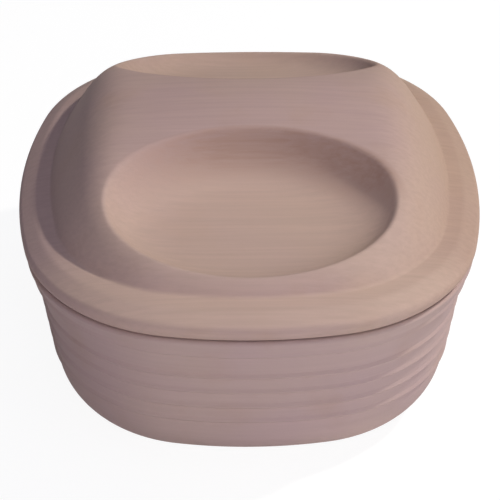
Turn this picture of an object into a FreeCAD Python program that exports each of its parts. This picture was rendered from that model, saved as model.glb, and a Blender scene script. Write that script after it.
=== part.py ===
import FreeCAD, Part
import math
import os

os.makedirs("parts", exist_ok=True)

# Clay roaster: an open pot and a loose lid that rests on it.
# Millimetres. X runs along the grip ridge, -Y is the front, Z is up from the foot.

V = FreeCAD.Vector

# Plan outline of the lid rim, drawn as tangent arcs and mirrored twice
RIM_HALF_WIDTH = 130.0
RIM_HALF_DEPTH = 147.5
FRONT_RADIUS = 254.0
SIDE_RADIUS = 318.0
CORNER_RADIUS = 95.0

# Pot
SEAM_HEIGHT = 98.0
POT_LIP_INSET = 1.5
POT_LIP_ROUND = 2.0
POT_LIP_WIDTH = 11.0
COLLAR_DEPTH = 13.0
COLLAR_INSET = 4.6
COLLAR_STEP = 1.5
BAND_COUNT = 4
BAND_PITCH = 10.9
BAND_STEP = 1.0
BAND_TAPER = 1.45
BAND_LIP = 0.4
BAND_LIP_HEIGHT = 2.2
TOP_BAND_DROP = 29.4
TOP_BAND_INSET = 8.9
FOOT_CORNER_RADIUS = 34.0
POT_WALL = 9.0
FLOOR = 9.0

# Lid rim and locating tongue
RIM_LOWER_INSET = 3.2
RIM_BULGE_HEIGHT = 6.5
RIM_ROUND = 4.5
CREASE_INSET = 18.0
CREASE_RISE = 15.8
DOME_LAP = 6.0
TONGUE_DEPTH = 6.0
TONGUE_CLEARANCE = 1.5
TONGUE_WIDTH = 7.0

# Dome: a ridge along X, a slope falling to the front and back, flanks rising from the crease
RIDGE_RISE = 44.8
RIDGE_HALF_WIDTH = 22.0
RIDGE_CROWN_RADIUS = 810.0
SLOPE_TILT = 18.5
FLANK_RISE = 1.9
RIDGE_BLEND = 8.0
SIDE_SHOULDER_BLEND = 36.0
FRONT_SHOULDER_BLEND = 10.0
LID_WALL = 8.0

# Grip hollows, one in each slope: oval, with a floor flatter than the slope
HOLLOW_CENTRE_Y = 78.8
HOLLOW_HALF_WIDTH = 85.0
HOLLOW_HALF_DEPTH = 52.3
HOLLOW_FLOOR_RISE = 6.5
HOLLOW_FLOOR_TILT = 10.0
HOLLOW_WALL_RISE = 30.6
HOLLOW_FULLNESS = 5.0
HOLLOW_EDGE_BLEND = 4.0

# Spacing of the section points that the dome surface is drawn through
SECTION_PITCH = 5.0

# Sizes that follow from the ones above
MOUTH_INSET = POT_LIP_INSET + POT_LIP_WIDTH
LOWEST_BAND_HEIGHT = SEAM_HEIGHT - TOP_BAND_DROP - (BAND_COUNT - 1) * BAND_PITCH
LOWEST_WALL_INSET = TOP_BAND_INSET + (BAND_COUNT - 1) * BAND_TAPER + BAND_STEP
FOOT_RADIUS = min(FOOT_CORNER_RADIUS, LOWEST_BAND_HEIGHT - BAND_STEP)
FOOT_INSET = LOWEST_WALL_INSET + FOOT_RADIUS
INNER_RADIUS = FOOT_RADIUS - FLOOR
INNER_WALL_INSET = LOWEST_WALL_INSET + POT_WALL
FLOOR_EDGE_INSET = INNER_WALL_INSET + INNER_RADIUS
JOIN_INSET = FOOT_INSET + FLOOR
CREASE_HEIGHT = SEAM_HEIGHT + CREASE_RISE
RIDGE_HEIGHT = CREASE_HEIGHT + RIDGE_RISE
HOLLOW_FLOOR_HEIGHT = CREASE_HEIGHT + HOLLOW_FLOOR_RISE
TONGUE_INNER_INSET = MOUTH_INSET + TONGUE_CLEARANCE + TONGUE_WIDTH


def outline_arcs():
    """Return the eight plan arcs as (centre, radius, start angle, end angle) in degrees."""
    side_x = RIM_HALF_WIDTH - SIDE_RADIUS
    front_y = FRONT_RADIUS - RIM_HALF_DEPTH
    to_side = SIDE_RADIUS - CORNER_RADIUS
    to_front = FRONT_RADIUS - CORNER_RADIUS
    gap = math.hypot(side_x, front_y)
    along = (to_side ** 2 - to_front ** 2 + gap ** 2) / (2.0 * gap)
    off = math.sqrt(to_side ** 2 - along ** 2)
    ux = -side_x / gap
    uy = front_y / gap
    corner_x = side_x + along * ux + off * uy
    corner_y = along * uy - off * ux
    side_half = math.degrees(math.atan2(-corner_y, corner_x - side_x))
    front_half = 90.0 - math.degrees(math.atan2(front_y - corner_y, corner_x))
    return [
        (V(side_x, 0, 0), SIDE_RADIUS, -side_half, side_half),
        (V(corner_x, -corner_y, 0), CORNER_RADIUS, side_half, 90.0 - front_half),
        (V(0, -front_y, 0), FRONT_RADIUS, 90.0 - front_half, 90.0 + front_half),
        (V(-corner_x, -corner_y, 0), CORNER_RADIUS, 90.0 + front_half, 180.0 - side_half),
        (V(-side_x, 0, 0), SIDE_RADIUS, 180.0 - side_half, 180.0 + side_half),
        (V(-corner_x, corner_y, 0), CORNER_RADIUS, 180.0 + side_half, 270.0 - front_half),
        (V(0, front_y, 0), FRONT_RADIUS, 270.0 - front_half, 270.0 + front_half),
        (V(corner_x, corner_y, 0), CORNER_RADIUS, 270.0 + front_half, 360.0 - side_half),
    ]


ARCS = outline_arcs()


def outline(inset, z):
    """Closed plan outline, a given distance inside the rim, at one height."""
    edges = []
    for centre, radius, start, end in ARCS:
        circle = Part.Circle(centre + V(0, 0, z), V(0, 0, 1), radius - inset)
        edges.append(Part.Edge(circle, math.radians(start), math.radians(end)))
    return Part.Wire(edges)


def profile_wire(steps, place):
    """Closed wire from steps: (inset, z) ends a line, ((inset, z), (inset, z)) an arc."""
    edges = []
    last = steps[0]
    for step in steps[1:]:
        if isinstance(step[0], tuple):
            edges.append(Part.Arc(place(last), place(step[0]), place(step[1])).toShape())
            last = step[1]
        else:
            edges.append(Part.makeLine(place(last), place(step)))
            last = step
    edges.append(Part.makeLine(place(last), place(steps[0])))
    return Part.Wire(edges)


def carried(steps):
    """Solid ring: a profile of insets and heights carried once round the outline."""
    wedges = []
    for centre, radius, start, end in ARCS:
        angle = math.radians(start)
        out = V(math.cos(angle), math.sin(angle), 0)

        def place(point, centre=centre, radius=radius, out=out):
            return centre + out * (radius - point[0]) + V(0, 0, point[1])

        face = Part.Face(profile_wire(steps, place))
        wedges.append(face.revolve(centre, V(0, 0, 1), end - start))
    return wedges[0].multiFuse(wedges[1:])


def plate(inset, bottom, top):
    """Flat plate inside the outline."""
    return Part.Face(outline(inset, bottom)).extrude(V(0, 0, top - bottom))


def corner(centre, radius, degrees):
    """Point on a profile arc, angle measured from the outward direction."""
    angle = math.radians(degrees)
    return (centre[0] - radius * math.cos(angle), centre[1] + radius * math.sin(angle))


def inner_wall_inset(z):
    """Inset of the tapered inner wall of the pot at one height."""
    share = (SEAM_HEIGHT - z) / (SEAM_HEIGHT - FLOOR - INNER_RADIUS)
    return MOUTH_INSET + (INNER_WALL_INSET - MOUTH_INSET) * share


def pot_profile():
    """Section of the pot wall: foot corner, stepped bands, collar, lip and inner wall."""
    foot_centre = (FOOT_INSET, FOOT_RADIUS)
    steps = [(FOOT_INSET, 0.0)]
    steps.append((corner(foot_centre, FOOT_RADIUS, -45), (LOWEST_WALL_INSET, FOOT_RADIUS)))
    for band in reversed(range(BAND_COUNT)):
        height = SEAM_HEIGHT - TOP_BAND_DROP - band * BAND_PITCH
        inset = TOP_BAND_INSET + band * BAND_TAPER
        steps.append((inset + BAND_STEP, height))
        steps.append((inset - BAND_LIP, height + 0.5 * BAND_STEP))
        steps.append((inset, height + BAND_LIP_HEIGHT))
    collar_height = SEAM_HEIGHT - COLLAR_DEPTH
    steps.append((COLLAR_INSET + COLLAR_STEP, collar_height))
    steps.append((COLLAR_INSET, collar_height + 0.5 * COLLAR_STEP))
    lip_centre = (POT_LIP_INSET + POT_LIP_ROUND, SEAM_HEIGHT - POT_LIP_ROUND)
    steps.append((POT_LIP_INSET, lip_centre[1]))
    steps.append((corner(lip_centre, POT_LIP_ROUND, 45), (lip_centre[0], SEAM_HEIGHT)))
    steps.append((MOUTH_INSET, SEAM_HEIGHT))
    steps.append((INNER_WALL_INSET, FLOOR + INNER_RADIUS))
    inner_centre = (FLOOR_EDGE_INSET, FLOOR + INNER_RADIUS)
    steps.append((corner(inner_centre, INNER_RADIUS, -45), (FLOOR_EDGE_INSET, FLOOR)))
    steps.append((JOIN_INSET, FLOOR))
    steps.append((JOIN_INSET, 0.0))
    return steps


def lid_rim_profile():
    """Section of the lid rim: flared edge, a round, and a ledge that leaves it tangent."""
    centre = (RIM_ROUND, SEAM_HEIGHT + RIM_BULGE_HEIGHT)
    run = CREASE_INSET - RIM_ROUND
    climb = CREASE_RISE - RIM_BULGE_HEIGHT
    tilt = math.atan2(climb, run) - math.asin(RIM_ROUND / math.hypot(run, climb))
    turn = 90.0 - math.degrees(tilt)
    lower_middle = (0.2 * RIM_LOWER_INSET, SEAM_HEIGHT + 0.5 * RIM_BULGE_HEIGHT)
    ledge_lap = 0.5 * DOME_LAP
    inner = TONGUE_INNER_INSET + DOME_LAP
    return [
        (RIM_LOWER_INSET, SEAM_HEIGHT),
        (lower_middle, (0.0, centre[1])),
        (corner(centre, RIM_ROUND, 0.5 * turn), corner(centre, RIM_ROUND, turn)),
        (CREASE_INSET + ledge_lap, CREASE_HEIGHT + ledge_lap * math.tan(tilt)),
        (inner, SEAM_HEIGHT + DOME_LAP),
        (inner, SEAM_HEIGHT),
    ]


def tongue_profile():
    """Section of the ring under the lid that drops inside the mouth of the pot."""
    bottom = SEAM_HEIGHT - TONGUE_DEPTH
    lap = 0.5 * DOME_LAP
    return [
        (MOUTH_INSET + TONGUE_CLEARANCE, SEAM_HEIGHT + lap),
        (MOUTH_INSET + TONGUE_CLEARANCE, SEAM_HEIGHT),
        (inner_wall_inset(bottom) + TONGUE_CLEARANCE, bottom),
        (TONGUE_INNER_INSET + lap, bottom),
        (TONGUE_INNER_INSET + lap, SEAM_HEIGHT + lap),
    ]


def inset_at(x, y):
    """Distance from the rim outline inward to a plan point."""
    x = abs(x)
    y = abs(y)
    for centre, radius, start, end in ARCS[:2]:
        angle = math.degrees(math.atan2(y - centre.y, x - centre.x))
        if start <= angle <= end:
            return radius - math.hypot(x - centre.x, y - centre.y)
    centre, radius = ARCS[2][:2]
    return radius - math.hypot(x - centre.x, y - centre.y)


def lower_of(first, second, blend):
    """The lower of two heights, rounded where they cross."""
    share = min(max(0.5 + 0.5 * (second - first) / blend, 0.0), 1.0)
    return second * (1.0 - share) + first * share - blend * share * (1.0 - share)


def dome_height(x, y, wall):
    """Height of the dome surface, or of the surface a wall thickness below it."""
    facing = (y / RIM_HALF_DEPTH) ** 2
    facing = facing / (facing + (x / RIM_HALF_WIDTH) ** 2 + 1e-9)
    shoulder = SIDE_SHOULDER_BLEND + (FRONT_SHOULDER_BLEND - SIDE_SHOULDER_BLEND) * facing
    flank = CREASE_HEIGHT + FLANK_RISE * (inset_at(x, y) - CREASE_INSET)
    flank = flank - wall * math.hypot(1.0, FLANK_RISE)
    fall = math.tan(math.radians(SLOPE_TILT))
    slope = RIDGE_HEIGHT - fall * (abs(y) - RIDGE_HALF_WIDTH) - wall * math.hypot(1.0, fall)
    ridge = RIDGE_HEIGHT - x * x / (2.0 * RIDGE_CROWN_RADIUS) - wall
    height = lower_of(flank, lower_of(slope, ridge, RIDGE_BLEND), shoulder)
    floor_fall = math.tan(math.radians(HOLLOW_FLOOR_TILT))
    from_centre = abs(y) - HOLLOW_CENTRE_Y
    across = x / (HOLLOW_HALF_WIDTH + wall)
    along = from_centre / (HOLLOW_HALF_DEPTH + wall)
    bowl = HOLLOW_FLOOR_HEIGHT - wall - floor_fall * from_centre
    bowl = bowl + HOLLOW_WALL_RISE * math.hypot(across, along) ** HOLLOW_FULLNESS
    return lower_of(height, bowl, HOLLOW_EDGE_BLEND)


def under_dome(inset, bottom, wall):
    """Solid inside the outline, from a flat bottom up to the dome surface."""
    half_columns = int((RIM_HALF_WIDTH - inset) / SECTION_PITCH) + 2
    half_rows = int((RIM_HALF_DEPTH - inset) / SECTION_PITCH) + 2
    grid = []
    for column in range(-half_columns, half_columns + 1):
        x = column * SECTION_PITCH
        section = []
        for row in range(-half_rows, half_rows + 1):
            y = row * SECTION_PITCH
            section.append(V(x, y, dome_height(x, y, wall)))
        grid.append(section)
    surface = Part.BSplineSurface()
    surface.interpolate(grid)
    above = surface.toShape().extrude(V(0, 0, RIDGE_HEIGHT))
    return plate(inset, bottom, RIDGE_HEIGHT + DOME_LAP).cut(above)


# Pot: one profile carried round the outline and closed by the floor
pot = carried(pot_profile()).fuse(plate(JOIN_INSET, 0.0, FLOOR)).removeSplitter()

# Lid: rim and locating tongue, the dome over them, then the space inside
lid = carried(lid_rim_profile()).fuse(carried(tongue_profile()))
lid = lid.fuse(under_dome(CREASE_INSET - DOME_LAP, SEAM_HEIGHT + 0.5 * DOME_LAP, 0.0))
lid = lid.cut(under_dome(TONGUE_INNER_INSET, SEAM_HEIGHT - 2.0 * TONGUE_DEPTH, LID_WALL))
lid = lid.removeSplitter()

pot.exportStep("parts/pot.step")
lid.exportStep("parts/lid.step")
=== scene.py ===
import math

import bpy
import numpy as np
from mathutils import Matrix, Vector


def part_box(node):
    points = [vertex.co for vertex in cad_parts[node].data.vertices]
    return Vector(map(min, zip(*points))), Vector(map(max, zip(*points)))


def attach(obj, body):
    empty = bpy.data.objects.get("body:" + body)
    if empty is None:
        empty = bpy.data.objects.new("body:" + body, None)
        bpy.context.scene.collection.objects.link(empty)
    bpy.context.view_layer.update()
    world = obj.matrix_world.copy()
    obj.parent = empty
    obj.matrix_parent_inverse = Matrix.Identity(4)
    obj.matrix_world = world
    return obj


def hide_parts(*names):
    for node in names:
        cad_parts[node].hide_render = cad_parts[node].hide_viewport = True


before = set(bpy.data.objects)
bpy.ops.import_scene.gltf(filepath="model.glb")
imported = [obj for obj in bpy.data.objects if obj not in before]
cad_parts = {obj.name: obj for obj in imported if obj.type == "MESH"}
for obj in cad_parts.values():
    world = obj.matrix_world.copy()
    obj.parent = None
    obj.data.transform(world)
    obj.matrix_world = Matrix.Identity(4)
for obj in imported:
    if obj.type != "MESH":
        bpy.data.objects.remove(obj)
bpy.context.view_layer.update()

# Clay roaster: an open pot with stepped bands, and a domed lid with a grip ridge.
# Shapes are worked out in millimetres, X along the ridge, -Y to the front, Z up.
MM = 0.001
TINY = 1e-9
pot_low, pot_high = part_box("pot")

# Plan outline of the lid rim: tangent arcs, mirrored left to right and front to back
RIM_HALF_WIDTH = 130.0
RIM_HALF_DEPTH = 147.5
FRONT_RADIUS = 254.0
SIDE_RADIUS = 318.0
CORNER_RADIUS = 95.0

# Pot wall: insets are measured inward from the rim's outline, square to it
SEAM_HEIGHT = pot_high[2] / MM
LIP_TOP = SEAM_HEIGHT - 0.8
LIP_INSET = 1.5
LIP_ROUND = 2.0
MOUTH_INSET = 12.5
MOUTH_ROUND = 1.5
COLLAR_HEIGHT = SEAM_HEIGHT - 13.0
COLLAR_INSET = 4.6

# Bands of the pot wall: each one stands back by the taper from the one above, and its
# lower edge is a bead that flares over a step, from the bead's foot up to its height
BAND_COUNT = 4
BAND_PITCH = 10.9
BAND_STEP = 1.2
BAND_TAPER = 1.45
BEAD_FLARE = 0.9
BEAD_CREST = 1.2
BEAD_HEIGHT = 3.2
BEAD_FOOT = 1.4
TOP_BAND_HEIGHT = SEAM_HEIGHT - 29.4
TOP_BAND_INSET = 8.9

# Foot corner, inner wall and floor of the pot
POT_WALL = 9.0
FOOT_RADIUS = 34.0
WALL_INSET = TOP_BAND_INSET + (BAND_COUNT - 1) * BAND_TAPER + BAND_STEP
FOOT_INSET = WALL_INSET + FOOT_RADIUS
INNER_WALL_INSET = WALL_INSET + POT_WALL
FLOOR = 9.0
INNER_RADIUS = FOOT_RADIUS - FLOOR

# Points of the collar's foot: inward of COLLAR_INSET and above COLLAR_HEIGHT
COLLAR_FOOT = ((1.5, -0.8), (-0.6, 1.2), (-0.4, 3.6))

# Points of the inner wall: inward of MOUTH_INSET and below SEAM_HEIGHT
INNER_WALL = ((3.0, 20.0), (7.0, 42.0))

# Lid rim, ledge and tongue
RIM_LOWER_INSET = 3.2
RIM_BULGE = 6.5
RIM_ROUND = 4.5
RIM_TILT = 30.0
RIM_END = 6.0
LEDGE_INSET = 9.0
LEDGE_TILT = 9.0
LEDGE_BLEND = 0.7
CREASE_INSET = 18.0
CREASE_HEIGHT = SEAM_HEIGHT + 15.8
CREASE_BLEND = 1.6
LEDGE_END = CREASE_INSET + 8.0
BEARING_EDGE = 2.0
TONGUE_DEPTH = 6.0
TONGUE_CLEARANCE = 1.5
TONGUE_WIDTH = 7.0
TONGUE_CHAMFER = 1.0
TONGUE_ROOT = 4.0
TONGUE_FILLET = 0.5

# Dome of the lid
RIDGE_HEIGHT = CREASE_HEIGHT + 44.8
RIDGE_HALF_WIDTH = 22.0
RIDGE_CROWN_RADIUS = 810.0
SLOPE_TILT = 18.5
FLANK_RISE = 1.9
RIDGE_BLEND = 8.0
SIDE_SHOULDER_BLEND = 54.0
FRONT_SHOULDER_BLEND = 15.0
LID_WALL = 8.0

# Oval grip hollows
HOLLOW_CENTRE_Y = 78.8
HOLLOW_HALF_WIDTH = 83.5
HOLLOW_HALF_DEPTH = 52.3
HOLLOW_FLOOR_HEIGHT = CREASE_HEIGHT + 8.0
HOLLOW_FLOOR_TILT = 10.0
HOLLOW_WALL_RISE = 29.5
HOLLOW_FULLNESS = 7.0
HOLLOW_EDGE_BLEND = 3.0

# Rounding of the worn edges of the pot and of the lid's rim
POT_SOFTENING = 0.16
RIM_SOFTENING = 0.45

# Mesh fineness: stations round the outline, rows of a profile and how much they gather
# at its turns, points on its arcs, the step of its rounding, and rings from one inset to
# the next
AROUND = 360
CARRIED_INSET = 40.0
POT_ROWS = 225
POT_PULL = 2.6
RIM_ROWS = 46
RIM_PULL = 1.0
FOOT_ARC_POINTS = 40
EDGE_ARC_POINTS = 24
MOUTH_ARC_POINTS = 5
CORNER_ARC_POINTS = 14
FLARE_POINTS = 12
POT_WALK_STEP = 0.05
RIM_WALK_STEP = 0.1
CREASE_FINE_LOW = CREASE_INSET - 3.0
CREASE_FINE_HIGH = CREASE_INSET + 4.0
TOP_RINGS = (20, 16, 30, 100)
UNDER_RINGS = (22, 10)
UNDERSIDE_INSETS = (RIM_HALF_WIDTH, 110.0, 80.0, FOOT_INSET + 3.0)
FLOOR_INSETS = (FOOT_INSET + 12.0, 90.0, 110.0, RIM_HALF_WIDTH)


def outline_arcs():
    """The eight plan arcs as rows of centre x, centre y, radius, start angle, end angle.

    The corner arc touches the side arc and the front arc from inside, so its centre lies
    where circles of radius side - corner and front - corner about their centres cross.
    """
    side_x = RIM_HALF_WIDTH - SIDE_RADIUS
    front_y = FRONT_RADIUS - RIM_HALF_DEPTH
    to_side = SIDE_RADIUS - CORNER_RADIUS
    to_front = FRONT_RADIUS - CORNER_RADIUS
    gap = math.hypot(side_x, front_y)
    along = (to_side ** 2 - to_front ** 2 + gap ** 2) / (2.0 * gap)
    off = math.sqrt(to_side ** 2 - along ** 2)
    corner_x = side_x - along * side_x / gap + off * front_y / gap
    corner_y = along * front_y / gap + off * side_x / gap
    side_half = math.atan2(-corner_y, corner_x - side_x)
    front_half = math.pi / 2 - math.atan2(front_y - corner_y, corner_x)
    quarter = math.pi / 2
    arcs = []
    for turn in range(4):
        start = turn * quarter
        sign_x = 1 if turn in (0, 3) else -1
        sign_y = 1 if turn in (0, 1) else -1
        if turn % 2 == 0:
            arcs.append((sign_y * side_x, 0.0, SIDE_RADIUS, start - side_half, start + side_half))
            first, last = start + side_half, start + quarter - front_half
        else:
            arcs.append((0.0, -sign_y * front_y, FRONT_RADIUS, start - front_half, start + front_half))
            first, last = start + front_half, start + quarter - side_half
        arcs.append((sign_x * corner_x, -sign_y * corner_y, CORNER_RADIUS, first, last))
    return np.array(arcs)


ARCS = outline_arcs()


def outline_frame(count):
    """Evenly spaced stations round the outline: arc centres, radii and normal angles.

    Arc length s picks the arc, and the normal angle is its start plus s over its radius.
    """
    lengths = ARCS[:, 2] * (ARCS[:, 4] - ARCS[:, 3])
    ends = np.cumsum(lengths)
    s = np.arange(count) * ends[-1] / count
    which = np.searchsorted(ends, s, side="right")
    start = np.concatenate([[0.0], ends[:-1]])
    angle = ARCS[which, 3] + (s - start[which]) / ARCS[which, 2]
    return ARCS[which, 0], ARCS[which, 1], ARCS[which, 2], angle, s


STATION_X, STATION_Y, STATION_R, STATION_ANGLE, STATION_S = outline_frame(AROUND)


def rings(insets):
    """Plan points of rings at given insets: centre plus (radius - inset) along the normal.

    Rings further in than CARRIED_INSET are that ring shrunk evenly towards the middle.
    """
    insets = np.asarray(insets, float)[:, None]
    carried = np.minimum(insets, CARRIED_INSET)
    x = STATION_X + (STATION_R - carried) * np.cos(STATION_ANGLE)
    y = STATION_Y + (STATION_R - carried) * np.sin(STATION_ANGLE)
    reach = RIM_HALF_WIDTH - CARRIED_INSET
    shrink = 1.0 - np.clip(insets - CARRIED_INSET, 0.0, reach) / reach
    return x * shrink, y * shrink


def inset_at(x, y):
    """Distance from the rim outline inward, by the arc whose angles hold the point."""
    x, y = np.abs(x), np.abs(y)
    inset = np.full(np.broadcast(x, y).shape, np.nan)
    for centre_x, centre_y, radius, start, end in ARCS[:3]:
        angle = np.arctan2(y - centre_y, x - centre_x)
        inside = (angle >= start) & (angle <= end) & np.isnan(inset)
        distance = radius - np.hypot(x - centre_x, y - centre_y)
        inset = np.where(inside, distance, inset)
    return np.where(np.isnan(inset), RIM_HALF_WIDTH, inset)


def lower_of(first, second, blend):
    """The lower of two heights, with a round of the blend's size where they cross."""
    share = np.clip(0.5 + 0.5 * (second - first) / blend, 0.0, 1.0)
    return second * (1.0 - share) + first * share - blend * share * (1.0 - share)


def gently_lower_of(first, second, blend):
    """The lower of two heights less a cube of their nearness, so that the round fades in."""
    near = np.clip(1.0 - np.abs(first - second) / blend, 0.0, 1.0)
    return np.minimum(first, second) - blend * near ** 3 / 6.0


def upper_of(first, second, blend):
    """The higher of two heights, with a round of the blend's size where they cross."""
    return -lower_of(-first, -second, blend)


def dome_height(x, y, wall):
    """Height of the dome, or of the surface a wall thickness below it.

    The lowest of three forms, rounded where they cross: flanks that rise with the
    distance in from the crease, slopes that fall from the ridge to front and back, and
    the ridge's crowned top. The hollow's floor plus a power of the oval radius cuts in.
    """
    facing = (y / RIM_HALF_DEPTH) ** 2
    facing = facing / (facing + (x / RIM_HALF_WIDTH) ** 2 + TINY)
    shoulder = SIDE_SHOULDER_BLEND + (FRONT_SHOULDER_BLEND - SIDE_SHOULDER_BLEND) * facing
    inward = inset_at(x, y) - CREASE_INSET
    flank = CREASE_HEIGHT + FLANK_RISE * inward - wall * math.hypot(1.0, FLANK_RISE)
    fall = math.tan(math.radians(SLOPE_TILT))
    slope = RIDGE_HEIGHT - fall * (np.abs(y) - RIDGE_HALF_WIDTH) - wall * math.hypot(1.0, fall)
    ridge = RIDGE_HEIGHT - x * x / (2.0 * RIDGE_CROWN_RADIUS) - wall
    height = gently_lower_of(flank, lower_of(slope, ridge, RIDGE_BLEND), shoulder)
    floor_fall = math.tan(math.radians(HOLLOW_FLOOR_TILT))
    from_centre = np.abs(y) - HOLLOW_CENTRE_Y
    across = x / (HOLLOW_HALF_WIDTH + wall)
    along = from_centre / (HOLLOW_HALF_DEPTH + wall)
    bowl = HOLLOW_FLOOR_HEIGHT - wall - floor_fall * from_centre
    bowl = bowl + HOLLOW_WALL_RISE * np.hypot(across, along) ** HOLLOW_FULLNESS
    return lower_of(height, bowl, HOLLOW_EDGE_BLEND)


def ledge_height(inset):
    """Height of the ledge: a nearly level part by the crease and a steeper one to the rim.

    The lower of two straight lines that cross at LEDGE_INSET, rounded there.
    """
    level = CREASE_HEIGHT + math.tan(math.radians(LEDGE_TILT)) * (inset - CREASE_INSET)
    turn = CREASE_HEIGHT + math.tan(math.radians(LEDGE_TILT)) * (LEDGE_INSET - CREASE_INSET)
    steep = turn + math.tan(math.radians(RIM_TILT)) * (inset - LEDGE_INSET)
    return lower_of(level, steep, LEDGE_BLEND)


def arc(centre, radius, start, end, count):
    """Profile points on an arc; angles in degrees from the outward direction."""
    angle = np.radians(np.linspace(start, end, count))
    return np.column_stack([centre[0] - radius * np.cos(angle), centre[1] + radius * np.sin(angle)])


def rounded(points, size, step):
    """A profile polyline walked in even steps and smoothed, so corners turn in a round.

    The smoothing is a bell curve of the given size, cut off at three times that size.
    """
    points = np.asarray(points, float)
    run = np.concatenate([[0.0], np.cumsum(np.hypot(*np.diff(points, axis=0).T))])
    walk = np.linspace(0.0, run[-1], int(run[-1] / step) + 1)
    line = np.column_stack([np.interp(walk, run, points[:, k]) for k in (0, 1)])
    reach = int(3.0 * size / step)
    kernel = np.exp(-0.5 * (np.arange(-reach, reach + 1) * step / size) ** 2)
    kernel = kernel / kernel.sum()
    before = 2.0 * line[0] - line[reach:0:-1]
    after = 2.0 * line[-1] - line[-2:-reach - 2:-1]
    padded = np.vstack([before, line, after])
    return np.column_stack([np.convolve(padded[:, k], kernel, mode="valid") for k in (0, 1)])


def gathered(line, rows, pull):
    """A number of points of a fine profile, closer together where it turns."""
    step = np.diff(line, axis=0)
    length = np.hypot(*step.T)
    heading = np.unwrap(np.arctan2(step[:, 1], step[:, 0]))
    turn = np.abs(np.diff(heading, prepend=heading[0]))
    weight = np.concatenate([[0.0], np.cumsum(length / length.sum() + pull * turn / turn.sum())])
    at = np.interp(np.linspace(0.0, weight[-1], rows), weight, np.arange(len(weight)))
    return np.column_stack([np.interp(at, np.arange(len(line)), line[:, k]) for k in (0, 1)])


def graded(stops, counts):
    """Insets of rings from stop to stop, each stretch evenly cut into its own count."""
    spans = zip(stops[:-1], stops[1:], counts)
    return np.concatenate([np.linspace(start, end, count)[1:] for start, end, count in spans])


def shell_mesh(name, x, y, z, v):
    """One closed shell from rows of rings whose first and last rows are single points.

    x, y and z are row by station arrays in millimetres. The UV map holds the distance
    round the outline and the distance v along the profile, both in metres.
    """
    rows, around = x.shape
    ring_points = np.column_stack([a[1:-1].ravel() for a in (x, y, z)])
    poles = np.array([[x[0, 0], y[0, 0], z[0, 0]], [x[-1, 0], y[-1, 0], z[-1, 0]]])
    points = np.vstack([ring_points, poles]) * MM
    index = np.arange((rows - 2) * around).reshape(rows - 2, around)
    here, there = index[:-1], index[1:]
    quads = np.stack([here, np.roll(here, -1, 1), np.roll(there, -1, 1), there], -1).reshape(-1, 4)
    first, last = len(points) - 2, len(points) - 1
    low, high = index[0], index[-1]
    caps = np.vstack([
        np.column_stack([np.full(around, first), np.roll(low, -1), low]),
        np.column_stack([np.full(around, last), high, np.roll(high, -1)]),
    ])
    mesh = bpy.data.meshes.new(name)
    mesh.from_pydata(points, [], quads.tolist() + caps.tolist())
    station_u = np.tile(STATION_S, rows - 2) * MM
    point_u = np.concatenate([station_u, [0.0, 0.0]])
    point_v = np.concatenate([np.repeat(v[1:-1], around), [v[0], v[-1]]]) * MM
    corner_point = np.zeros(len(mesh.loops), int)
    mesh.loops.foreach_get("vertex_index", corner_point)
    layer = mesh.uv_layers.new(name="wrap")
    layer.data.foreach_set("uv", np.column_stack([point_u, point_v])[corner_point].ravel())
    mesh.shade_smooth()
    mesh.update()
    return mesh


def piece(name, mesh, material, node):
    """A finished piece in place of its CAD node."""
    obj = bpy.data.objects.new(name, mesh)
    bpy.context.scene.collection.objects.link(obj)
    mesh.materials.append(material)
    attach(obj, "root")
    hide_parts(node)
    return obj


def pot_outer_profile():
    """Wall from the foot's edge to the lip: corner arc, bands, collar and lip."""
    points = [arc((FOOT_INSET, FOOT_RADIUS), FOOT_RADIUS, -90.0, 0.0, FOOT_ARC_POINTS)]
    for band in reversed(range(BAND_COUNT)):
        height = TOP_BAND_HEIGHT - band * BAND_PITCH
        inset = TOP_BAND_INSET + band * BAND_TAPER
        points.append([(inset + BAND_STEP, height - BEAD_FOOT)])
        points.append([(inset - BEAD_FLARE, height + BEAD_CREST), (inset, height + BEAD_HEIGHT)])
    points.append([(COLLAR_INSET + inward, COLLAR_HEIGHT + up) for inward, up in COLLAR_FOOT])
    points.append([(LIP_INSET, LIP_TOP - LIP_ROUND)])
    centre = (LIP_INSET + LIP_ROUND, LIP_TOP - LIP_ROUND)
    points.append(arc(centre, LIP_ROUND, 0.0, 90.0, EDGE_ARC_POINTS))
    return np.vstack(points)


def build_pot(material):
    """Closed shell: underside, outer wall, lip, inner wall and floor, row by row."""
    outer = rounded(pot_outer_profile(), POT_SOFTENING, POT_WALK_STEP)
    outer = gathered(outer, POT_ROWS, POT_PULL)
    underside = [(inset, 0.0) for inset in UNDERSIDE_INSETS]
    mouth_centre = (MOUTH_INSET - MOUTH_ROUND, LIP_TOP - MOUTH_ROUND)
    corner_centre = (INNER_WALL_INSET + INNER_RADIUS, FLOOR + INNER_RADIUS)
    inner = np.vstack([
        arc(mouth_centre, -MOUTH_ROUND, -90.0, -180.0, MOUTH_ARC_POINTS),
        [(MOUTH_INSET + inward, SEAM_HEIGHT - down) for inward, down in INNER_WALL],
        arc(corner_centre, INNER_RADIUS, 0.0, -90.0, CORNER_ARC_POINTS),
        [(inset, FLOOR) for inset in FLOOR_INSETS],
    ])
    line = np.vstack([underside, outer, inner])
    x, y = rings(line[:, 0])
    z = np.repeat(line[:, 1:], AROUND, axis=1)
    v = np.concatenate([[0.0], np.cumsum(np.hypot(*np.diff(line, axis=0).T))])
    return piece("pot_body", shell_mesh("pot_body", x, y, z, v), material, "pot")


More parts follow.
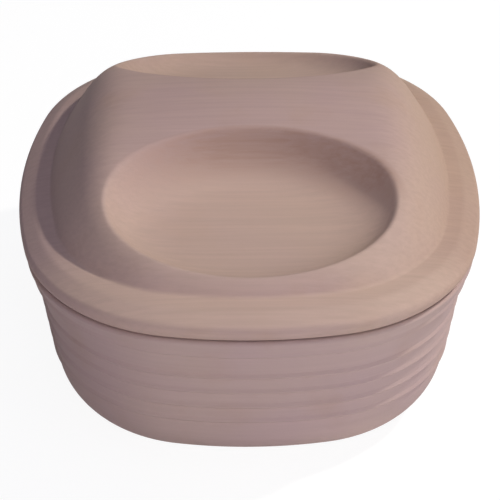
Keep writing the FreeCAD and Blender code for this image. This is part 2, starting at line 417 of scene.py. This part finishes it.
def lid_rim_profile():
    """Rim from the bearing face to the ledge: small lower round, flare, upper round."""
    bulge = SEAM_HEIGHT + RIM_BULGE
    lift = np.linspace(0.0, 1.0, FLARE_POINTS)
    flare = np.column_stack([RIM_LOWER_INSET * (1.0 - lift) ** 2, SEAM_HEIGHT + RIM_BULGE * lift])
    return np.vstack([
        [(RIM_LOWER_INSET + BEARING_EDGE, SEAM_HEIGHT)],
        flare,
        arc((RIM_ROUND, bulge), RIM_ROUND, 0.0, 90.0 - RIM_TILT, EDGE_ARC_POINTS),
        [(RIM_END, float(ledge_height(RIM_END)))],
    ])


def build_lid(material):
    """Closed shell: inner dome, tongue, bearing face, rim, ledge and outer dome."""
    tongue_outer = MOUTH_INSET + TONGUE_CLEARANCE
    tongue_inner = tongue_outer + TONGUE_WIDTH
    tongue_low = SEAM_HEIGHT - TONGUE_DEPTH
    under_stops = (RIM_HALF_WIDTH, CARRIED_INSET, tongue_inner + TONGUE_CHAMFER)
    under = np.concatenate([[RIM_HALF_WIDTH], graded(under_stops, UNDER_RINGS)])
    under_x, under_y = rings(under)
    under_z = dome_height(under_x, under_y, LID_WALL)
    tongue = np.array([
        (tongue_inner, tongue_low + TONGUE_ROOT),
        (tongue_inner, tongue_low + TONGUE_CHAMFER),
        (tongue_inner - TONGUE_CHAMFER, tongue_low),
        (tongue_outer + 2.0 * TONGUE_CHAMFER, tongue_low),
        (tongue_outer + TONGUE_CHAMFER, tongue_low + TONGUE_CHAMFER),
        (tongue_outer, SEAM_HEIGHT - TONGUE_FILLET),
        (tongue_outer - TONGUE_FILLET, SEAM_HEIGHT),
    ])
    rim = rounded(lid_rim_profile(), RIM_SOFTENING, RIM_WALK_STEP)
    rim = gathered(rim, RIM_ROWS, RIM_PULL)
    profile = np.vstack([tongue, rim])
    profile_x, profile_y = rings(profile[:, 0])
    profile_z = np.repeat(profile[:, 1:], AROUND, axis=1)
    top_stops = (RIM_END, CREASE_FINE_LOW, CREASE_FINE_HIGH, CARRIED_INSET, RIM_HALF_WIDTH)
    top = graded(top_stops, TOP_RINGS)
    top_x, top_y = rings(top)
    dome = dome_height(top_x, top_y, 0.0)
    ledge = ledge_height(top)[:, None]
    top_z = np.where(top[:, None] < LEDGE_END, upper_of(dome, ledge, CREASE_BLEND), dome)
    x = np.vstack([under_x, profile_x, top_x])
    y = np.vstack([under_y, profile_y, top_y])
    z = np.vstack([under_z, profile_z, top_z])
    steps = np.sqrt(np.diff(x[:, 0]) ** 2 + np.diff(z[:, 0]) ** 2)
    v = np.concatenate([[0.0], np.cumsum(steps)])
    return piece("lid_body", shell_mesh("lid_body", x, y, z, v), material, "lid")


class Value:
    """A shader socket that adds Math nodes when it is used in an expression."""

    def __init__(self, maker, socket):
        self.maker = maker
        self.socket = socket

    def math(self, operation, *values):
        return self.maker.node("ShaderNodeMath", {"operation": operation}, dict(enumerate(values)))

    def __add__(self, other):
        return self.math("ADD", self, other)

    def __radd__(self, other):
        return self.math("ADD", other, self)

    def __sub__(self, other):
        return self.math("SUBTRACT", self, other)

    def __rsub__(self, other):
        return self.math("SUBTRACT", other, self)

    def __mul__(self, other):
        return self.math("MULTIPLY", self, other)

    def __rmul__(self, other):
        return self.math("MULTIPLY", other, self)


class Maker:
    """A node tree under construction, of a material or of the world."""

    def __init__(self, owner):
        owner.use_nodes = True
        self.tree = owner.node_tree
        self.tree.nodes.clear()

    def node(self, kind, settings=None, inputs=None, output=0):
        """Add one node: its settings first, then the values or links of its sockets."""
        made = self.tree.nodes.new(kind)
        for key, setting in (settings or {}).items():
            setattr(made, key, setting)
        for key, value in (inputs or {}).items():
            socket = made.inputs[key]
            if isinstance(value, Value):
                self.tree.links.new(value.socket, socket)
            else:
                socket.default_value = value
        return Value(self, made.outputs[output]) if len(made.outputs) else None


# Sockets of the Mix node for colours: it has several of each name, so these are numbers
MIX_SHARE = 0
MIX_FIRST = 6
MIX_SECOND = 7
MIX_RESULT = 2


def mix_colour(maker, share, first, second, blend="MIX"):
    """Colour mix of two colours by a share."""
    settings = {"data_type": "RGBA", "blend_type": blend}
    inputs = {MIX_SHARE: share, MIX_FIRST: first, MIX_SECOND: second}
    return maker.node("ShaderNodeMix", settings, inputs, MIX_RESULT)


def noise(maker, place, scale, stretch=(1.0, 1.0, 1.0), detail=3.0, roughness=0.5, shift=0.0):
    """Noise on stretched coordinates; scale is in features per metre."""
    mapping = {"Vector": place, "Scale": stretch, "Location": (shift, shift, shift)}
    placed = maker.node("ShaderNodeMapping", {}, mapping)
    inputs = {"Vector": placed, "Scale": scale, "Detail": detail, "Roughness": roughness}
    return maker.node("ShaderNodeTexNoise", {"noise_dimensions": "3D"}, inputs)


def spread(maker, value, low, high):
    """Value stretched so that low becomes 0 and high becomes 1, held there outside."""
    inputs = {"Value": value, "From Min": low, "From Max": high}
    return maker.node("ShaderNodeMapRange", {"clamp": True}, inputs)


# Tones of the clay; some also stand for light: the ochre on the lid's right as painted warm light, the
# grey as painted shade, the pale as painted light, the brown partly as painted shade
CLAY_TAN = (0.530, 0.385, 0.325, 1.0)
CLAY_PINK = (0.500, 0.352, 0.335, 1.0)
# Ochre of the random patches, and painted warm light on the lid's lit right side
CLAY_OCHRE_AND_WARM_LIGHT = (0.470, 0.315, 0.235, 1.0)
# Brown of the band on the hollows' upper walls: brown streaks and painted shade
CLAY_BROWN_AND_SHADE = (0.400, 0.262, 0.215, 1.0)
# Painted light: the front ledge and the floors of the hollows
PAINTED_LIGHT_PALE = (0.585, 0.428, 0.350, 1.0)
# Painted shade on the lid's shaded left side
PAINTED_SHADE_GREY = (0.430, 0.305, 0.300, 1.0)

# Patterns of the clay: features per metre, the span of the noise that is spread out,
# and how far each pattern darkens or shows
NOISE_SPAN = (0.35, 0.65)
CLOUD_SCALE = 14.0
CLOUD_SHARE = 0.55
PATCH_SCALE = 30.0
PATCH_SHIFT = 3.1
PATCH_SPAN = (0.52, 0.74)
PATCH_SHARE = 0.35
GRAIN_SCALE = 1800.0
GRAIN_DEPTH = 0.04
MEAN_SHADE = 0.975
# Share of the brown band of brown streaks and painted shade on the hollows' upper walls, and how much
# of it follows the streaks
BROWN_AND_SHADE_SHARE = 0.45
BROWN_AND_SHADE_STREAK_SHARE = 0.55
PATTERN_ROUGHNESS = 0.6

# Surface of the clay: relief from grain and streaks, roughness and gloss
GRAIN_RELIEF = 0.5
STREAK_RELIEF = 0.9
BUMP_STRENGTH = 0.22
BUMP_DISTANCE = 0.0006
BASE_ROUGHNESS = 0.80
STREAK_ROUGHNESS = 0.10
GLOSS = 0.25

# Streaks and cast of each piece: features per metre along each axis, depth, and tint
POT_STREAKS = (9.0, 420.0, 1.0)
POT_STREAK_DEPTH = 0.04
POT_CAST = (0.975, 1.0, 1.05)
LID_STREAKS = (9.0, 420.0, 420.0)
LID_STREAK_DEPTH = 0.08
LID_CAST = (1.02, 1.02, 0.99)

# Places in metres of the pink top and of the painted light and shade on the lid, where each
# starts and where it is full, and the share that it has there
PINK_HEIGHTS = (0.138, 0.156)
LID_HEIGHTS = (SEAM_HEIGHT * MM - 0.0005, SEAM_HEIGHT * MM + 0.0020)
# Painted warm light on the lid's lit right and painted shade on its shaded left: where each starts and
# where it is full across
WARM_LIGHT_ACROSS = (0.070, 0.115)
LEFT_SHADE_ACROSS = (-0.075, -0.110)
# Painted light on the front ledge: where it starts and is full along, and the ledge's heights
FRONT_LIGHT_ALONG = (-0.085, -0.115)
LEDGE_LOW = (CREASE_HEIGHT * MM - 0.0080, CREASE_HEIGHT * MM - 0.0055)
LEDGE_HIGH = (CREASE_HEIGHT * MM + 0.0015, CREASE_HEIGHT * MM)
# Shares of the painted warm light on the right, the painted shade on the left and the painted light on
# the front ledge
WARM_LIGHT_SHARE = 0.60
LEFT_SHADE_SHARE = 0.65
FRONT_LIGHT_SHARE = 0.65

# Painted shade and painted light in the hollows: a brown band of brown streaks and painted shade on
# the upper walls and painted light on the floors, placed on the square of the oval radius, and on the
# distances from the oval's centre as shares of its half depth and half width
# Brown band of brown streaks and painted shade: from floor to edge on the square of the oval radius,
# towards the ridge, fading out to the lit left end
WALL_FROM_FLOOR = (0.45, 0.80)
WALL_TO_EDGE = (1.04, 0.94)
WALL_BY_RIDGE = (-0.05, -0.40)
WALL_FROM_LEFT = (-0.95, -0.20)
# Painted light on the lit floors of the hollows: full inside, fading out towards the edge, and its
# share
FLOOR_LIGHT_FROM_EDGE = (0.95, 0.55)
FLOOR_LIGHT_SHARE = 0.55


def split(maker, vector):
    """The three parts of a vector, each as a value."""
    return [maker.node("ShaderNodeSeparateXYZ", {}, {"Vector": vector}, axis) for axis in "XYZ"]


def lid_light_and_shade_shares(maker, across, along, height):
    """Shares of painted light and shade on the lid: painted warm light on the lit right, painted shade
    on the left, painted light on the front ledge.
    """
    on_lid = spread(maker, height, *LID_HEIGHTS)
    # Painted warm light on the lit right side of the lid
    painted_warm_light = WARM_LIGHT_SHARE * spread(maker, across, *WARM_LIGHT_ACROSS) * on_lid
    # Painted shade on the shaded left side of the lid
    painted_left_shade = LEFT_SHADE_SHARE * spread(maker, across, *LEFT_SHADE_ACROSS) * on_lid
    on_ledge = spread(maker, height, *LEDGE_LOW) * spread(maker, height, *LEDGE_HIGH)
    # Painted light on the front ledge, where the key light grazes it
    front = FRONT_LIGHT_SHARE * spread(maker, along, *FRONT_LIGHT_ALONG) * on_ledge
    return painted_warm_light, painted_left_shade, front


def hollow_shade_and_light_shares(maker, across, along):
    """Shares of painted shade and painted light by the square of the oval radius, which is 1 at the
    edge.

    A brown band of brown streaks and painted shade lies on the upper wall of each hollow, on the
    ridge's side, fading out towards the lit left end; painted light makes the floor pale.
    """
    wide = across * (1.0 / (HOLLOW_HALF_WIDTH * MM))
    deep = (along.math("ABSOLUTE", along) - HOLLOW_CENTRE_Y * MM) * (1.0 / (HOLLOW_HALF_DEPTH * MM))
    oval = wide * wide + deep * deep
    brown_and_shade = spread(maker, oval, *WALL_FROM_FLOOR) * spread(maker, oval, *WALL_TO_EDGE)
    brown_and_shade = brown_and_shade * spread(maker, deep, *WALL_BY_RIDGE) * spread(maker, wide, *WALL_FROM_LEFT)
    # Painted light: the floor of each hollow paler where it is lit
    painted_floor_light = FLOOR_LIGHT_SHARE * spread(maker, oval, *FLOOR_LIGHT_FROM_EDGE)
    return brown_and_shade, painted_floor_light


def clay(name, streak_source, streak_stretch, streak_depth, cast):
    """Unglazed fired clay: soft tan and pink clouds, ochre patches, painted light and shade, wiping
    streaks, grain.
    """
    material = bpy.data.materials.new(name)
    maker = Maker(material)
    place = maker.node("ShaderNodeTexCoord", output="Object")
    wrap = maker.node("ShaderNodeUVMap", {"uv_map": "wrap"}) if streak_source == "wrap" else place
    across, along, height = split(maker, place)
    clouds = spread(maker, noise(maker, place, CLOUD_SCALE, detail=2.0), *NOISE_SPAN)
    spots = noise(maker, place, PATCH_SCALE, detail=4.0, shift=PATCH_SHIFT)
    patches = spread(maker, spots, *PATCH_SPAN)
    streaks = noise(maker, wrap, 1.0, streak_stretch, detail=4.0, roughness=PATTERN_ROUGHNESS)
    streak = spread(maker, streaks, *NOISE_SPAN)
    grain = noise(maker, place, GRAIN_SCALE, detail=3.0, roughness=PATTERN_ROUGHNESS)
    pink = CLOUD_SHARE * clouds + (1.0 - CLOUD_SHARE) * spread(maker, height, *PINK_HEIGHTS)
    painted_warm_light, painted_left_shade, front = lid_light_and_shade_shares(maker, across, along, height)
    brown_and_shade, painted_floor_light = hollow_shade_and_light_shares(maker, across, along)
    colour = mix_colour(maker, pink, CLAY_TAN, CLAY_PINK)
    colour = mix_colour(maker, patches * PATCH_SHARE, colour, CLAY_OCHRE_AND_WARM_LIGHT)
    # Painted warm light on the lid's right and painted shade on its left
    colour = mix_colour(maker, painted_warm_light, colour, CLAY_OCHRE_AND_WARM_LIGHT)
    colour = mix_colour(maker, painted_left_shade, colour, PAINTED_SHADE_GREY)
    # Painted light on the front ledge
    colour = mix_colour(maker, front, colour, PAINTED_LIGHT_PALE)
    # Painted light on the floors of the hollows
    colour = mix_colour(maker, painted_floor_light, colour, PAINTED_LIGHT_PALE)
    # Brown band on the hollows' upper walls: brown streaks and painted shade where the walls under the
    # ridge lie in shade
    brown_and_shade = brown_and_shade * (BROWN_AND_SHADE_SHARE + BROWN_AND_SHADE_STREAK_SHARE * streak)
    colour = mix_colour(maker, brown_and_shade, colour, CLAY_BROWN_AND_SHADE)
    shade = MEAN_SHADE - streak_depth / 2.0 + streak_depth * streak + GRAIN_DEPTH * grain
    tint = maker.node("ShaderNodeCombineColor", {}, {k: shade * cast[k] for k in range(3)})
    colour = mix_colour(maker, 1.0, colour, tint, "MULTIPLY")
    relief = GRAIN_RELIEF * grain + STREAK_RELIEF * streaks
    raised = {"Strength": BUMP_STRENGTH, "Distance": BUMP_DISTANCE, "Height": relief}
    bump = maker.node("ShaderNodeBump", {}, raised)
    inputs = {
        "Base Color": colour,
        "Roughness": BASE_ROUGHNESS + STREAK_ROUGHNESS * streak,
        "Specular IOR Level": GLOSS,
        "Normal": bump,
    }
    shader = maker.node("ShaderNodeBsdfPrincipled", {}, inputs)
    maker.node("ShaderNodeOutputMaterial", {}, {"Surface": shader})
    return material


# Studio floor: its paper as the lamps see it, and what the camera sees in its place
PAPER = (0.90, 0.90, 0.90, 1.0)
VEIL = (0.16, 0.16, 0.16, 1.0)
WHITE = (1.0, 1.0, 1.0, 1.0)
GLOW = 0.91
FLOOR_HALF_SIZE = 6.0
FLOOR_DROP = 0.0002


def seen_directly(maker):
    """1 for a camera ray or a glossy ray, else 0."""
    camera = maker.node("ShaderNodeLightPath", output="Is Camera Ray")
    glossy = maker.node("ShaderNodeLightPath", output="Is Glossy Ray")
    return camera.math("MAXIMUM", camera, glossy)


def ground_material():
    """Pale floor: plain white paper, a little lighter to the camera than to the lamps."""
    material = bpy.data.materials.new("studio_floor")
    maker = Maker(material)
    paper = maker.node("ShaderNodeBsdfDiffuse", {}, {"Color": PAPER})
    veil = maker.node("ShaderNodeBsdfDiffuse", {}, {"Color": VEIL})
    bright = maker.node("ShaderNodeEmission", {}, {"Color": WHITE, "Strength": GLOW})
    lit = maker.node("ShaderNodeAddShader", {}, {0: veil, 1: bright})
    shader = maker.node("ShaderNodeMixShader", {}, {0: seen_directly(maker), 1: paper, 2: lit})
    maker.node("ShaderNodeOutputMaterial", {}, {"Surface": shader})
    return material


def build_floor():
    """A wide flat floor under the foot."""
    half = FLOOR_HALF_SIZE
    mesh = bpy.data.meshes.new("floor")
    corners = [(-half, -half, 0.0), (half, -half, 0.0), (half, half, 0.0), (-half, half, 0.0)]
    mesh.from_pydata(corners, [], [(0, 1, 2, 3)])
    floor = bpy.data.objects.new("floor", mesh)
    bpy.context.scene.collection.objects.link(floor)
    mesh.materials.append(ground_material())
    floor.location.z = pot_low[2] - FLOOR_DROP


# Camera: fitted to the outline, the seam and the hollows in the photograph; angles in
# degrees, distances in metres, the sensor in millimetres
VIEW_ELEVATION = 34.0
VIEW_TURN = -0.9
VIEW_DISTANCE = 8.0 * RIM_HALF_WIDTH * MM
VIEW_FOCUS_PIXELS = 1772.0
FRAME_PIXELS = 500.0
SENSOR_WIDTH = 36.0
VIEW_RANGE = 50.0
VIEW_TARGET = Vector((0.0006, -0.0015, 0.44 * RIM_HALF_WIDTH * MM))


def aim(obj, direction, distance, target):
    """Place an object along a direction from a target, looking back at it."""
    direction = Vector(direction).normalized()
    obj.location = target + direction * distance
    obj.rotation_euler = (-direction).to_track_quat("-Z", "Y").to_euler()


def build_camera():
    """Long lens in front of the object, looking down on it."""
    data = bpy.data.cameras.new("camera")
    data.sensor_width = SENSOR_WIDTH
    data.lens = VIEW_FOCUS_PIXELS / FRAME_PIXELS * data.sensor_width
    data.clip_end = VIEW_RANGE
    camera = bpy.data.objects.new("camera", data)
    bpy.context.scene.collection.objects.link(camera)
    angle = math.radians(VIEW_ELEVATION)
    turn = math.radians(VIEW_TURN)
    along = (math.sin(turn) * math.cos(angle), -math.cos(turn) * math.cos(angle), math.sin(angle))
    aim(camera, along, VIEW_DISTANCE, VIEW_TARGET)
    bpy.context.scene.camera = camera


# Lamps: name, direction from the object, distance and size in metres, watts, colour
LAMP_TARGET = Vector((0.0, 0.0, 0.08))
LAMPS = [
    ("key", (0.625, 0.105, 0.780), 1.6, 0.07, 13.2, (1.0, 0.955, 0.86)),
    ("side", (0.78, -0.58, 0.16), 1.8, 0.9, 8.1, (0.89, 0.93, 1.0)),
    ("front", (0.0, -0.89, 0.43), 2.0, 1.4, 13.9, (0.95, 0.880, 0.97)),
    ("top", (0.0, 0.00, 1.00), 1.8, 1.4, 6.2, (0.70, 0.75, 1.0)),
]
SKY_COLOUR = (0.72, 0.76, 1.0, 1.0)
SKY_STRENGTH = 0.02


def build_lamps():
    """Soft square lamps that face the object."""
    for name, direction, distance, size, power, colour in LAMPS:
        data = bpy.data.lights.new(name, "AREA")
        data.size = size
        data.energy = power
        data.color = colour
        lamp = bpy.data.objects.new(name, data)
        bpy.context.scene.collection.objects.link(lamp)
        aim(lamp, direction, distance, LAMP_TARGET)


def build_world():
    """Dim cool sky for light, plain white where the camera sees past the floor."""
    world = bpy.data.worlds.new("studio")
    bpy.context.scene.world = world
    maker = Maker(world)
    sky = maker.node("ShaderNodeBackground", {}, {"Color": SKY_COLOUR, "Strength": SKY_STRENGTH})
    white = maker.node("ShaderNodeBackground", {}, {"Color": WHITE, "Strength": 1.0})
    mixed = maker.node("ShaderNodeMixShader", {}, {0: seen_directly(maker), 1: sky, 2: white})
    maker.node("ShaderNodeOutputWorld", {}, {"Surface": mixed})


build_camera()
build_lamps()
build_world()
build_floor()
build_pot(clay("pot_clay_finish", "wrap", POT_STREAKS, POT_STREAK_DEPTH, POT_CAST))
build_lid(clay("lid_clay_and_painted_light", "place", LID_STREAKS, LID_STREAK_DEPTH, LID_CAST))

bpy.context.scene.view_settings.view_transform = "Standard"
